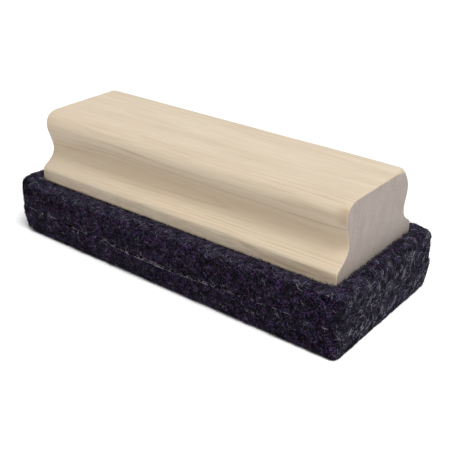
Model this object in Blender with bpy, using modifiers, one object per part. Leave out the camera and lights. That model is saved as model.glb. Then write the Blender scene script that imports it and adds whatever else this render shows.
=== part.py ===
"""Chalkboard eraser: a moulded wooden handle glued onto a pad of two wool felt layers.

Frame: X runs along the length, Y across, Z up.  The origin is the centre of the
felt's underside, on the surface that the eraser rests on.  Lengths are in metres.

The pieces, from the bottom up:
    felt_lower_layer    the wiping layer
    layer_glue_film     adhesive between the two felt layers
    felt_upper_layer    the cushion layer, pressed down into a seat under the handle
    handle_glue_film    adhesive between the seat and the handle
    wooden_handle       one length of moulding with a finger cove along each side
"""

from math import cos, pi, radians, sin

import bmesh
import bpy
from mathutils import Matrix

OBJECT_NAME = "chalkboard_eraser"
CUTTERS_NAME = "cutters"

# Felt pad
PAD_LENGTH = 0.140
PAD_WIDTH = 0.060
LOWER_LAYER_TOP = 0.0105
PAD_RIM_HEIGHT = 0.0216     # top of the upper layer, around the handle
PAD_CORNER_RADIUS = 0.0034  # upright corners
PAD_OUTER_ROUNDING = 0.0028 # rim of the top and of the underside
PAD_SEAM_ROUNDING = 0.0006  # where the two layers meet

# Handle
HANDLE_LENGTH = 0.1275
HANDLE_BASE_HEIGHT = 0.0200 # its underside, above the origin
TOTAL_HEIGHT = 0.046
BASE_HALF_WIDTH = 0.0228
COVE_HALF_WIDTH = 0.0172
NOSE_HALF_WIDTH = 0.0194
TOP_HALF_WIDTH = 0.0138
BASE_EDGE = 0.0057          # height of the upright edge under the flare
COVE_HEIGHT = 0.0118        # deepest line of the cove, above the handle's underside
NOSE_HEIGHT = 0.0211        # widest line of the nose, above the handle's underside
FLARE_POWER = 2.3           # how late the flare turns outwards
LIP_START = 0.15            # how far along the flare its rounded lip reaches
LIP_DROP = 0.0013           # how far down the upright edge the lip reaches
NOSE_POWER = 2.3            # 2 is an ellipse, and more is squarer
ARRIS = 0.0006              # eased edges of the sawn ends and of the underside

# Adhesive
FILM_THICKNESS = 0.0003
FILM_INSET = 0.0010         # how far a film stays back from the edges that it joins
FILM_CORNER_RADIUS = 0.0028
GAP = 0.0003                # clearance between neighbouring pieces

# Facets
SAME_PLACE = 1e-6           # points closer than this are one point
CURVE_STEPS = 10
CORNER_STEPS = 6
ROUNDING_STEPS = 4


def clear_scene():
    """Remove whatever the file holds, so that the script can be run again."""
    for obj in list(bpy.data.objects):
        bpy.data.objects.remove(obj, do_unlink=True)
    for collection in list(bpy.data.collections):
        bpy.data.collections.remove(collection)


def new_collection(name):
    collection = bpy.data.collections.new(name)
    bpy.context.scene.collection.children.link(collection)
    return collection


def principled(name, colour, roughness):
    material = bpy.data.materials.new(name)
    material.use_nodes = True
    material.diffuse_color = (*colour, 1.0)
    shader = material.node_tree.nodes["Principled BSDF"]
    shader.inputs["Base Color"].default_value = (*colour, 1.0)
    shader.inputs["Roughness"].default_value = roughness
    shader.inputs["Metallic"].default_value = 0.0
    return material


def wood_material():
    return principled("pale_wood", (0.72, 0.60, 0.44), 0.62)


def upper_felt_material():
    return principled("charcoal_felt", (0.045, 0.043, 0.055), 0.95)


def lower_felt_material():
    return principled("charcoal_felt_wiping", (0.040, 0.038, 0.050), 0.95)


def glue_material(name):
    return principled(name, (0.55, 0.50, 0.40), 0.45)


def mesh_object(name, bm, collection, material=None):
    """Turn a bmesh into a linked object and free the bmesh."""
    mesh = bpy.data.meshes.new(name)
    bm.to_mesh(mesh)
    bm.free()
    obj = bpy.data.objects.new(name, mesh)
    collection.objects.link(obj)
    if material:
        mesh.materials.append(material)
    return obj


def block(length, width, low, high):
    """A bmesh box centred on the Z axis between two heights."""
    bm = bmesh.new()
    bmesh.ops.create_cube(bm, size=1.0)
    size = Matrix.Diagonal((length, width, high - low, 1.0))
    place = Matrix.Translation((0.0, 0.0, (low + high) / 2))
    bmesh.ops.transform(bm, matrix=place @ size, verts=bm.verts)
    return bm


def round_edges(bm, edges, radius, steps):
    bmesh.ops.bevel(
        bm, geom=edges, offset=radius, offset_type="OFFSET", segments=steps, profile=0.5,
        affect="EDGES", clamp_overlap=True,
    )


def upright_edges(bm):
    """A box's four upright edges."""
    return [e for e in bm.edges if (e.verts[0].co - e.verts[1].co).xy.length < SAME_PLACE]


def level_edges(bm, height):
    """The edges of the outline at one height."""
    return [e for e in bm.edges if all(abs(v.co.z - height) < SAME_PLACE for v in e.verts)]


def felt_slab(low, high, low_rounding, high_rounding):
    """A slab of felt with rounded upright corners and rounded rims."""
    bm = block(PAD_LENGTH, PAD_WIDTH, low, high)
    round_edges(bm, upright_edges(bm), PAD_CORNER_RADIUS, CORNER_STEPS)
    round_edges(bm, level_edges(bm, low), low_rounding, ROUNDING_STEPS)
    round_edges(bm, level_edges(bm, high), high_rounding, ROUNDING_STEPS)
    return bm


def seat_cutter(collection, seat_height):
    """The space that the handle and its glue press into the upper felt layer."""
    bm = block(
        HANDLE_LENGTH + 2 * GAP, 2 * (BASE_HALF_WIDTH + GAP), seat_height, TOTAL_HEIGHT,
    )
    cutter = mesh_object("handle_seat_cutter", bm, collection)
    cutter.hide_render = True
    cutter.display_type = "WIRE"
    return cutter


def cut(obj, cutter):
    modifier = obj.modifiers.new("seat", "BOOLEAN")
    modifier.operation = "DIFFERENCE"
    modifier.solver = "EXACT"
    modifier.object = cutter


def make_felt_lower_layer(collection):
    bm = felt_slab(0.0, LOWER_LAYER_TOP, PAD_OUTER_ROUNDING, PAD_SEAM_ROUNDING)
    return mesh_object("felt_lower_layer", bm, collection, lower_felt_material())


def make_felt_upper_layer(collection, cutters, low, seat_height):
    bm = felt_slab(low, PAD_RIM_HEIGHT, PAD_SEAM_ROUNDING, PAD_OUTER_ROUNDING)
    felt = mesh_object("felt_upper_layer", bm, collection, upper_felt_material())
    cut(felt, seat_cutter(cutters, seat_height))
    return felt


def make_film(name, length, width, low, collection, material):
    bm = block(length, width, low, low + FILM_THICKNESS)
    round_edges(bm, upright_edges(bm), FILM_CORNER_RADIUS, CORNER_STEPS)
    return mesh_object(name, bm, collection, material)


def flare_point(step):
    """From the lip over the base edge, up and in to the deepest line of the cove."""
    along = 1 - step
    across = COVE_HALF_WIDTH + (BASE_HALF_WIDTH - COVE_HALF_WIDTH) * along**FLARE_POWER
    return across, COVE_HEIGHT - (COVE_HEIGHT - BASE_EDGE) * along


def lip_point(step):
    """The rounded lip: a quadratic curve from the base edge round to the flare."""
    low = (BASE_HALF_WIDTH, BASE_EDGE - LIP_DROP)
    corner = (BASE_HALF_WIDTH, BASE_EDGE)
    high = flare_point(LIP_START)
    weights = ((1 - step)**2, 2 * step * (1 - step), step**2)
    return tuple(
        sum(weight * point[axis] for weight, point in zip(weights, (low, corner, high)))
        for axis in (0, 1)
    )


def flare_above_lip_point(step):
    return flare_point(LIP_START + (1 - LIP_START) * step)


def cove_point(step):
    """From the deepest line of the cove, up and out to the nose."""
    bulge = (1 - cos(pi * step)) / 2
    across = COVE_HALF_WIDTH + (NOSE_HALF_WIDTH - COVE_HALF_WIDTH) * bulge
    return across, COVE_HEIGHT + (NOSE_HEIGHT - COVE_HEIGHT) * step


def nose_point(step):
    """A quarter of a superellipse from the nose over to the flat top."""
    angle = step * pi / 2
    handle_height = TOTAL_HEIGHT - HANDLE_BASE_HEIGHT
    out = max(cos(angle), 0.0)**(2 / NOSE_POWER)
    up = sin(angle)**(2 / NOSE_POWER)
    across = TOP_HALF_WIDTH + (NOSE_HALF_WIDTH - TOP_HALF_WIDTH) * out
    return across, NOSE_HEIGHT + (handle_height - NOSE_HEIGHT) * up


def handle_half_outline():
    """One side of the moulding, bottom to top, as (across, height above its underside)."""
    points = [(BASE_HALF_WIDTH, 0.0), lip_point(0.0)]
    for curve in (lip_point, flare_above_lip_point, cove_point, nose_point):
        points += [curve(i / CURVE_STEPS) for i in range(1, CURVE_STEPS + 1)]
    return points


def handle_outline_curve(collection):
    """The moulding's section as a filled 2D curve, extruded to the handle's length."""
    half = handle_half_outline()
    outline = half + [(-across, height) for across, height in reversed(half)]
    curve = bpy.data.curves.new("handle_section", "CURVE")
    curve.dimensions = "2D"
    curve.fill_mode = "BOTH"
    curve.extrude = HANDLE_LENGTH / 2
    spline = curve.splines.new("POLY")
    spline.points.add(len(outline) - 1)
    for point, (across, height) in zip(spline.points, outline):
        point.co = (across, height, 0.0, 1.0)
    spline.use_cyclic_u = True
    section = bpy.data.objects.new("handle_section", curve)
    collection.objects.link(section)
    # The section's own X, Y and Z lie along the object's Y, Z and X.
    section.matrix_world = Matrix.Translation((0.0, 0.0, HANDLE_BASE_HEIGHT)) @ Matrix(
        ((0, 0, 1, 0), (1, 0, 0, 0), (0, 1, 0, 0), (0, 0, 0, 1))
    )
    return section


def mesh_from_curve(curve_object, name, collection):
    """A closed mesh from an extruded curve; the curve is removed."""
    bpy.context.view_layer.update()
    evaluated = curve_object.evaluated_get(bpy.context.evaluated_depsgraph_get())
    mesh = bpy.data.meshes.new_from_object(evaluated)
    mesh.name = name
    bm = bmesh.new()
    bm.from_mesh(mesh)
    bmesh.ops.remove_doubles(bm, verts=bm.verts, dist=SAME_PLACE)
    bmesh.ops.recalc_face_normals(bm, faces=bm.faces)
    bm.to_mesh(mesh)
    bm.free()
    mesh.materials.clear()
    obj = bpy.data.objects.new(name, mesh)
    obj.matrix_world = curve_object.matrix_world
    collection.objects.link(obj)
    bpy.data.objects.remove(curve_object, do_unlink=True)
    return obj


def make_wooden_handle(collection):
    handle = mesh_from_curve(handle_outline_curve(collection), "wooden_handle", collection)
    handle.data.materials.append(wood_material())
    easing = handle.modifiers.new("eased_edges", "BEVEL")
    easing.width = ARRIS
    easing.segments = 3
    easing.limit_method = "ANGLE"
    easing.angle_limit = radians(45)
    handle.data.shade_smooth()
    handle.data.set_sharp_from_angle(angle=radians(35))
    return handle


def main():
    clear_scene()
    parts = new_collection(OBJECT_NAME)
    cutters = new_collection(CUTTERS_NAME)

    upper_layer_low = LOWER_LAYER_TOP + FILM_THICKNESS + 2 * GAP
    seat_height = HANDLE_BASE_HEIGHT - FILM_THICKNESS - 2 * GAP

    make_felt_lower_layer(parts)
    make_film(
        "layer_glue_film", PAD_LENGTH - 2 * FILM_INSET, PAD_WIDTH - 2 * FILM_INSET,
        LOWER_LAYER_TOP + GAP, parts, glue_material("layer_glue"),
    )
    make_felt_upper_layer(parts, cutters, upper_layer_low, seat_height)
    make_film(
        "handle_glue_film", HANDLE_LENGTH - 2 * FILM_INSET, 2 * (BASE_HALF_WIDTH - FILM_INSET),
        seat_height + GAP, parts, glue_material("handle_glue"),
    )
    make_wooden_handle(parts)


main()
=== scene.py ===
"""Looks of the chalkboard eraser: bare wood with real grain, and two layers of loose-haired wool felt.

Everything is in metres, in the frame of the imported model: X along the eraser, -Y towards the
front, Z up from the surface that it rests on.
"""

from math import cos, pi, radians, sin
from typing import NamedTuple

import bmesh
import bpy
import numpy as np
from mathutils import Matrix, Vector, noise
from mathutils.bvhtree import BVHTree


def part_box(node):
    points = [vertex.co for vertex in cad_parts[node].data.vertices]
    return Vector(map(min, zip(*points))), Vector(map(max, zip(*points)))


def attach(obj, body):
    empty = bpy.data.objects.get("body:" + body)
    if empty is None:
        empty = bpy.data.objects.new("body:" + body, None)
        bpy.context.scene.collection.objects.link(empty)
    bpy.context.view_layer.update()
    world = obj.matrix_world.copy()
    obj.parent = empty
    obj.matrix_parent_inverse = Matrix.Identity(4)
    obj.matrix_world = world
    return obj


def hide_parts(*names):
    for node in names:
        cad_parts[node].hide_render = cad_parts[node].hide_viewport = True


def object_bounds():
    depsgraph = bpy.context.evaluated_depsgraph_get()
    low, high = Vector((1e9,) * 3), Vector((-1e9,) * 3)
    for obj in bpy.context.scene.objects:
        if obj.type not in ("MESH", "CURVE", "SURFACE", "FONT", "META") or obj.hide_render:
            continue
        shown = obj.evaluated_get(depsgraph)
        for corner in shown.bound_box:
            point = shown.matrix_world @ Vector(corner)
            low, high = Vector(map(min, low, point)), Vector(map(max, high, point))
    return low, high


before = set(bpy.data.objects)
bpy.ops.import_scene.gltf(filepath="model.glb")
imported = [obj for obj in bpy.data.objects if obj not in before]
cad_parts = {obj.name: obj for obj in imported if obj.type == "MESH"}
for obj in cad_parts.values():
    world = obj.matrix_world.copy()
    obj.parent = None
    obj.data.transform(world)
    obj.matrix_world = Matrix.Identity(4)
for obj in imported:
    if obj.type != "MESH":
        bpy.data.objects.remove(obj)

CAD_LOW, CAD_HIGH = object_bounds()
MM = 0.001
BODY = "root"
NOISE_SEED = 7

noise.seed_set(NOISE_SEED)  # without a seed, noise_vector would follow the clock

# ---- camera, light and floor

CAMERA_AZIMUTH = radians(37.97)  # round from the front towards the right end
CAMERA_ELEVATION = radians(26.5)
CAMERA_ROLL = radians(0.51)
CAMERA_DISTANCE = 0.2934
CAMERA_AIM = Vector((0.0, 0.0, 0.02053))
CAMERA_ASIDE = 0.00405  # the object sits a little left of the middle of the frame
CAMERA_DROP = 0.00750  # and above it
CAMERA_LENS = 66.32
CAMERA_SENSOR = 36.0

FLOOR_HALF_SIZE = 3.0
FLOOR_WHITE = 0.96
FLOOR_GLOW = 0.045  # the table is lit a little from below, as for a catalogue picture
ROOM_LIGHT = 0.23


def make_camera():
    back = Vector((
        sin(CAMERA_AZIMUTH) * cos(CAMERA_ELEVATION),
        -cos(CAMERA_AZIMUTH) * cos(CAMERA_ELEVATION),
        sin(CAMERA_ELEVATION),
    ))
    right = Vector((cos(CAMERA_AZIMUTH), sin(CAMERA_AZIMUTH), 0.0))
    up = back.cross(right)
    eye = CAMERA_AIM + back * CAMERA_DISTANCE + right * CAMERA_ASIDE - up * CAMERA_DROP
    rolled_right = right * cos(CAMERA_ROLL) + up * sin(CAMERA_ROLL)
    rolled_up = up * cos(CAMERA_ROLL) - right * sin(CAMERA_ROLL)
    data = bpy.data.cameras.new("camera")
    data.lens = CAMERA_LENS
    data.sensor_width = CAMERA_SENSOR
    data.clip_start = 0.01
    camera = bpy.data.objects.new("camera", data)
    turned = Matrix((rolled_right, rolled_up, back)).transposed().to_4x4()
    camera.matrix_world = Matrix.Translation(eye) @ turned
    bpy.context.scene.collection.objects.link(camera)
    bpy.context.scene.camera = camera


def area_light(name, place, size, power, colour=(1.0, 1.0, 1.0)):
    """A square soft box that faces the eraser."""
    data = bpy.data.lights.new(name, "AREA")
    data.size = size
    data.energy = power
    data.color = colour
    light = bpy.data.objects.new(name, data)
    light.location = place
    light.rotation_euler = (-Vector(place)).to_track_quat("-Z", "Y").to_euler()
    bpy.context.scene.collection.objects.link(light)


def make_lights():
    area_light("soft_box", place=(2.30, -1.00, 4.20), size=2.6, power=302.0)
    area_light("card_behind", place=(-1.64, 2.12, 1.34), size=2.4, power=20.0, colour=(0.94, 0.97, 1.0))
    world = bpy.data.worlds.new("room")
    world.use_nodes = True
    background = world.node_tree.nodes["Background"]
    background.inputs["Color"].default_value = (1.0, 1.0, 1.0, 1.0)
    background.inputs["Strength"].default_value = ROOM_LIGHT
    bpy.context.scene.world = world
    bpy.context.scene.view_settings.view_transform = "Standard"


def make_floor():
    bm = bmesh.new()
    bmesh.ops.create_grid(bm, x_segments=1, y_segments=1, size=FLOOR_HALF_SIZE)
    mesh = bpy.data.meshes.new("floor")
    bm.to_mesh(mesh)
    bm.free()
    floor = bpy.data.objects.new("floor", mesh)
    floor.location.z = CAD_LOW.z - 0.02 * MM
    bpy.context.scene.collection.objects.link(floor)
    material = bpy.data.materials.new("studio_floor")
    material.use_nodes = True
    shader = material.node_tree.nodes["Principled BSDF"]
    shader.inputs["Base Color"].default_value = (FLOOR_WHITE, FLOOR_WHITE, FLOOR_WHITE, 1.0)
    shader.inputs["Roughness"].default_value = 0.9
    shader.inputs["Emission Color"].default_value = (1.0, 1.0, 1.0, 1.0)
    shader.inputs["Emission Strength"].default_value = FLOOR_GLOW
    mesh.materials.append(material)


# ---- material nodes

def start_material(name):
    """A new material as (material, node tree, its shader)."""
    material = bpy.data.materials.new(name)
    material.use_nodes = True
    return material, material.node_tree, material.node_tree.nodes["Principled BSDF"]


def add(tree, kind, inputs, **settings):
    """A shader node. An input is a socket to link or a plain value."""
    node = tree.nodes.new("ShaderNode" + kind)
    for name, value in settings.items():
        setattr(node, name, value)
    for name, value in inputs.items():
        if isinstance(value, bpy.types.NodeSocket):
            tree.links.new(value, node.inputs[name])
        else:
            node.inputs[name].default_value = value
    return node


def calc(tree, operation, *values):
    """A Math node's result."""
    return add(tree, "Math", dict(enumerate(values)), operation=operation).outputs[0]


def blend(tree, factor, first, second, how="MIX"):
    """A colour mix's result."""
    node = tree.nodes.new("ShaderNodeMix")
    node.data_type = "RGBA"
    node.blend_type = how
    for index, value in ((0, factor), (6, first), (7, second)):
        if isinstance(value, bpy.types.NodeSocket):
            tree.links.new(value, node.inputs[index])
        elif index == 0:
            node.inputs[index].default_value = value
        else:
            node.inputs[index].default_value = (*value, 1.0)
    return node.outputs[2]


def ramp(tree, value, *stops):
    """A colour ramp's result from (position, brightness or colour) stops."""
    node = add(tree, "ValToRGB", {"Fac": value})
    elements = node.color_ramp.elements
    for _ in range(len(stops) - 2):
        elements.new(0.5)
    for element, (position, level) in zip(elements, stops):
        element.position = position
        rgb = (level, level, level) if isinstance(level, (int, float)) else level
        element.color = (*rgb, 1.0)
    return node.outputs["Color"]


def limits(tree, value, low, high, to_low=0.0, to_high=1.0):
    """A value run smoothly from one range to another."""
    node = add(tree, "MapRange", {
        "Value": value, "From Min": low, "From Max": high, "To Min": to_low, "To Max": to_high,
    }, interpolation_type="SMOOTHSTEP")
    return node.outputs["Result"]


def place_in_mm(tree):
    """The point's place in the row frame, in millimetres."""
    coordinates = tree.nodes.new("ShaderNodeTexCoord")
    scaled = add(tree, "VectorMath", {0: coordinates.outputs["Object"], "Scale": 1 / MM}, operation="SCALE")
    return scaled.outputs["Vector"]


def grains(tree, place, size, detail=2.0, roughness=0.5, distortion=0.0, turn=(0.0, 0.0, 0.0)):
    """Noise whose spots are about size (x, y, z) millimetres, after a turn in degrees."""
    mapping = add(tree, "Mapping", {
        "Vector": place,
        "Rotation": tuple(radians(angle) for angle in turn),
    }, vector_type="POINT")
    scaled = add(tree, "VectorMath", {
        0: mapping.outputs["Vector"], 1: tuple(1 / s for s in size),
    }, operation="MULTIPLY")
    texture = add(tree, "TexNoise", {
        "Vector": scaled.outputs["Vector"], "Scale": 1.0, "Detail": detail, "Roughness": roughness,
        "Distortion": distortion,
    })
    return texture.outputs["Fac"]


def xyz(tree, vector):
    """A vector's parts, by the letters X, Y and Z."""
    return add(tree, "SeparateXYZ", {"Vector": vector}).outputs


def facing(tree, axis, normal="Normal"):
    """How squarely the surface faces along an axis, either way: 0 to 1."""
    geometry = tree.nodes.new("ShaderNodeNewGeometry")
    return calc(tree, "ABSOLUTE", xyz(tree, geometry.outputs[normal])[axis])


def tinted(tree, colour, tint):
    return blend(tree, 1.0, colour, tint, "MULTIPLY")


def finish_material(tree, shader, colour, rough, height, depth):
    """Links the looks to the shader; depth is the relief's height in metres."""
    tree.links.new(colour, shader.inputs["Base Color"])
    tree.links.new(rough, shader.inputs["Roughness"])
    bump = add(tree, "Bump", {"Height": height, "Strength": 1.0, "Distance": depth})
    tree.links.new(bump.outputs["Normal"], shader.inputs["Normal"])


# ---- wood

WOOD_LIGHT = (0.592, 0.500, 0.378)
WOOD_DARK = (0.430, 0.330, 0.220)
WOOD_BLUSH = (0.585, 0.452, 0.325)
# the colour of the coves' painted warm bounce light
WOOD_BOUNCE_TINT = (0.620, 0.440, 0.275)
WOOD_SCORCHED = (0.430, 0.310, 0.210)
END_SHADE = (0.53, 0.545, 0.65)  # what sawn end grain keeps of the long grain's colour
END_CONTRAST = ((0.14, 0.72), (0.34, 1.22))
PITH = (125.0, 24.0)  # the tree's middle, in Y and Z from the origin, millimetres
RING_WIDTH = 1.10  # millimetres of wood grown in a year
RING_PROFILE = ((0.0, 0.25), (0.12, 0.0), (0.72, 0.25), (0.93, 1.0), (1.0, 0.25))

# The saw's scorch marks and rough-sawn foot, with light painted into the long sides: painted shade
# on the flares, painted light on the foot and painted warm bounce light in the coves. Places are in
# millimetres, along X or above the ground, and a pair of them runs from where a mark begins to
# where it is full.
SAW_EXIT = (58.6, 63.2)  # along X, for the scorched noses
NOSE_FOOT = (38.0, 40.5)
NOSE_CROWN = (45.3, 43.3)
SCORCHING = 0.85
FLARE_FOOT = (24.0, 26.5)
FLARE_CROWN = (33.0, 29.5)
# Painted light: the foot is painted paler between these heights, against the shade beside the felt.
FOOT_BAND = (24.6, 20.2)
FOOT_PAINTED_LIGHT = 0.34
ROUGH_SAWN_BAND = (25.0, 24.0)
ROUGH_SAWN_STRENGTH = 0.8
# Painted shade: the flares are painted darker towards the left, where the light falls off.
FLARE_SHADE_STRETCH = (-64.0, 20.0)  # along X
FLARE_PAINTED_SHADE = (0.16, 0.02)  # at the two ends of that stretch
# Painted light: warm bounce light is painted into the coves.
COVES = (26.5, 38.5)  # the coves lie between these heights
COVE_FADE = 4.0  # and take painted warm bounce light from this far inside them
COVE_BOUNCE_TINT = 0.22
END_TURN = (0.70, 0.99)  # how far a face looks along X when it counts as an end
ARRIS_TURN = (0.10, 0.45)
ARRIS_DARKNESS = 0.42


def squared(tree, value):
    return calc(tree, "POWER", calc(tree, "ABSOLUTE", value), 2.0)


def growth_rings(tree, place):
    """0 in early wood rising to 1 in the thin late wood at the end of each year's ring."""
    across = calc(tree, "SUBTRACT", xyz(tree, place)["Y"], PITH[0])
    up = calc(tree, "SUBTRACT", xyz(tree, place)["Z"], PITH[1])
    radius = calc(tree, "SQRT", calc(tree, "ADD", squared(tree, across), squared(tree, up)))
    drift = calc(tree, "MULTIPLY", grains(tree, place, (110, 26, 26), detail=1.0), 9.0)
    wobble = calc(tree, "MULTIPLY", grains(tree, place, (30, 5, 5), detail=2.0), 0.7)
    strayed = calc(tree, "ADD", radius, calc(tree, "ADD", drift, wobble))
    years = calc(tree, "DIVIDE", strayed, RING_WIDTH)
    return ramp(tree, calc(tree, "FRACT", years), *RING_PROFILE)


def cove_bounce_tint(tree, height):
    """How much painted warm bounce light tints the wood in the coves."""
    above_foot = calc(tree, "SUBTRACT", height, COVES[0])
    below_nose = calc(tree, "SUBTRACT", COVES[1], height)
    return limits(tree, calc(tree, "MINIMUM", above_foot, below_nose), 0.0, COVE_FADE, 0.0, COVE_BOUNCE_TINT)


def band(tree, height, foot, crown):
    """1 between a foot and a crown, each a pair of heights over which it comes and goes."""
    return calc(tree, "MINIMUM", limits(tree, height, *foot), limits(tree, height, *crown))


def scorched(tree, along, height):
    """Where the saw has scorched the noses on its way out, at the right end."""
    nose = band(tree, height, NOSE_FOOT, NOSE_CROWN)
    return calc(tree, "MULTIPLY", limits(tree, along, *SAW_EXIT, 0.0, SCORCHING), nose)


def painted_light_and_sawn_mottle(tree, place, along, height):
    """Painted shade and light on the long sides: flares painted a little darker, mostly at the left where
    the light falls off, a foot painted paler against its shade, and the foot's rough-sawn mottle.
    """
    flare = band(tree, height, FLARE_FOOT, FLARE_CROWN)
    darker = calc(tree, "MULTIPLY", flare, limits(tree, along, *FLARE_SHADE_STRETCH, *FLARE_PAINTED_SHADE))
    paler = limits(tree, height, *FOOT_BAND, 0.0, FOOT_PAINTED_LIGHT)
    sawn = grains(tree, place, (5.0, 0.45, 0.45), detail=3.0, roughness=0.7)
    strength = limits(tree, height, *ROUGH_SAWN_BAND, 0.0, ROUGH_SAWN_STRENGTH)
    mottled = calc(tree, "MULTIPLY", strength, calc(tree, "SUBTRACT", sawn, 0.5))
    return calc(tree, "ADD", calc(tree, "SUBTRACT", 1.0, darker), calc(tree, "ADD", paler, mottled))


def swing(tree, value, strength):
    """A noise's swing either side of its middle, times a strength."""
    return calc(tree, "MULTIPLY", calc(tree, "SUBTRACT", value, 0.5), strength)


def grain_colour(tree, place, fibres, pores):
    """The bare wood's own colour: rings, fibres, streaks, pores and slow warm clouds."""
    rings = growth_rings(tree, place)
    ring_strength = limits(tree, grains(tree, place, (60, 9, 9), detail=2.0), 0.36, 0.66, 0.10, 0.80)
    streaks = grains(tree, place, (90, 2.6, 2.6), detail=3.0, roughness=0.6)
    clouds = grains(tree, place, (34, 16, 16), detail=2.0)
    tone = calc(tree, "ADD", calc(tree, "MULTIPLY", rings, ring_strength), swing(tree, fibres, 1.25))
    tone = calc(tree, "ADD", tone, swing(tree, streaks, 0.7))
    tone = calc(tree, "ADD", tone, calc(tree, "MULTIPLY", pores, 0.22))
    colour = blend(tree, limits(tree, tone, -0.25, 1.05), WOOD_LIGHT, WOOD_DARK)
    return blend(tree, limits(tree, clouds, 0.45, 0.75, 0.0, 0.30), colour, WOOD_BLUSH)


def long_side_colour(tree, place, colour, turned, long_side):
    """The long sides' colour: the saw's scorch and arris line, painted warm bounce light in the coves,
    painted shade on the flares, painted light on the foot and its rough-sawn mottle.
    """
    along, height = xyz(tree, place)["X"], xyz(tree, place)["Z"]
    # Painted warm bounce light in the coves.
    bounce_tinted = calc(tree, "MULTIPLY", cove_bounce_tint(tree, height), long_side)
    colour = blend(tree, bounce_tinted, colour, WOOD_BOUNCE_TINT)
    burnt = calc(tree, "MULTIPLY", scorched(tree, along, height), long_side)
    colour = blend(tree, burnt, colour, WOOD_SCORCHED)
    # Painted shade on the flares and painted light on the foot, with the rough-sawn mottle.
    worn = tinted(tree, colour, painted_light_and_sawn_mottle(tree, place, along, height))
    colour = blend(tree, long_side, colour, worn)
    arris = calc(tree, "MULTIPLY", limits(tree, turned, *ARRIS_TURN, 0.0, ARRIS_DARKNESS), long_side)
    return blend(tree, arris, colour, WOOD_SCORCHED)


def end_colour(tree, colour, saw, vessels):
    """Sawn ends: darker and greyer, with upright saw marks and open vessels."""
    tone = calc(tree, "ADD", calc(tree, "MULTIPLY", saw, 0.24), calc(tree, "MULTIPLY", vessels, 0.24))
    return tinted(tree, tinted(tree, colour, END_SHADE), ramp(tree, tone, *END_CONTRAST))


def wood_material():
    material, tree, shader = start_material("bare_lime_wood")
    place = place_in_mm(tree)
    turned = facing(tree, "X", "True Normal")
    end = limits(tree, turned, *END_TURN)
    long_side = calc(tree, "SUBTRACT", 1.0, end)
    fibres = grains(tree, place, (16, 0.42, 0.42), detail=3.0, roughness=0.65)
    pores = limits(tree, grains(tree, place, (3.2, 0.20, 0.20), detail=1.0), 0.70, 0.78)
    saw = grains(tree, place, (4.0, 0.50, 14.0), detail=3.0, roughness=0.6, turn=(4.0, 0.0, 0.0))
    vessels = grains(tree, place, (2.0, 0.55, 0.55), detail=3.0, roughness=0.7)

    colour = grain_colour(tree, place, fibres, pores)
    colour = long_side_colour(tree, place, colour, turned, long_side)
    colour = blend(tree, end, colour, end_colour(tree, colour, saw, vessels))
    rough = limits(tree, fibres, 0.25, 0.75, 0.52, 0.68)
    long_relief = calc(tree, "SUBTRACT", fibres, calc(tree, "MULTIPLY", pores, 0.7))
    relief = calc(tree, "ADD", calc(tree, "MULTIPLY", long_relief, long_side),
                  calc(tree, "MULTIPLY", calc(tree, "ADD", saw, vessels), end))
    finish_material(tree, shader, colour, rough, relief, 0.05 * MM)
    shader.inputs["Specular IOR Level"].default_value = 0.35
    return material


# The moulding's section. Heights are above the handle's underside.
BASE_EDGE = 5.7 * MM
LIP_DROP = 1.3 * MM
LIP_START = 0.15
COVE_HALF_WIDTH = 17.2 * MM
COVE_HEIGHT = 11.8 * MM
NOSE_HALF_WIDTH = 19.4 * MM
NOSE_HEIGHT = 21.1 * MM
TOP_HALF_WIDTH = 13.8 * MM
FLARE_POWER = 2.3
NOSE_POWER = 2.3
SECTION_STEPS = 26  # points along each of the section's curves
HANDLE_SLICES = 64
END_STEPS = 6  # rings that round the edges of a sawn end
EASED_EDGE = 0.38 * MM
WORN_CORNER = 3.6 * MM  # the corner that has been knocked, at the right end's back
WORN_INSET = 1.2 * MM  # its place: in from the nose and down from the top
WORN_DROP = 1.8 * MM
WORN_REACH = 4.8 * MM
SANDING_WAVE = 0.06 * MM
SANDED_FROM = 8 * MM  # above the handle's underside, which stays flat


def flare_point(step, base_half_width):
    along = 1 - step
    across = COVE_HALF_WIDTH + (base_half_width - COVE_HALF_WIDTH) * along**FLARE_POWER
    return across, COVE_HEIGHT - (COVE_HEIGHT - BASE_EDGE) * along


def lip_point(step, base_half_width):
    """The rounded lip: a quadratic curve from the base edge round to the flare."""
    low = (base_half_width, BASE_EDGE - LIP_DROP)
    corner = (base_half_width, BASE_EDGE)
    high = flare_point(LIP_START, base_half_width)
    weights = ((1 - step)**2, 2 * step * (1 - step), step**2)
    return tuple(sum(w * p[axis] for w, p in zip(weights, (low, corner, high))) for axis in (0, 1))


def cove_point(step):
    bulge = (1 - cos(pi * step)) / 2
    across = COVE_HALF_WIDTH + (NOSE_HALF_WIDTH - COVE_HALF_WIDTH) * bulge
    return across, COVE_HEIGHT + (NOSE_HEIGHT - COVE_HEIGHT) * step


def nose_point(step, handle_height):
    """A quarter of a superellipse from the nose over to the flat top."""
    angle = step * pi / 2
    out = max(cos(angle), 0.0)**(2 / NOSE_POWER)
    up = sin(angle)**(2 / NOSE_POWER)
    across = TOP_HALF_WIDTH + (NOSE_HALF_WIDTH - TOP_HALF_WIDTH) * out
    return across, NOSE_HEIGHT + (handle_height - NOSE_HEIGHT) * up


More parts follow.
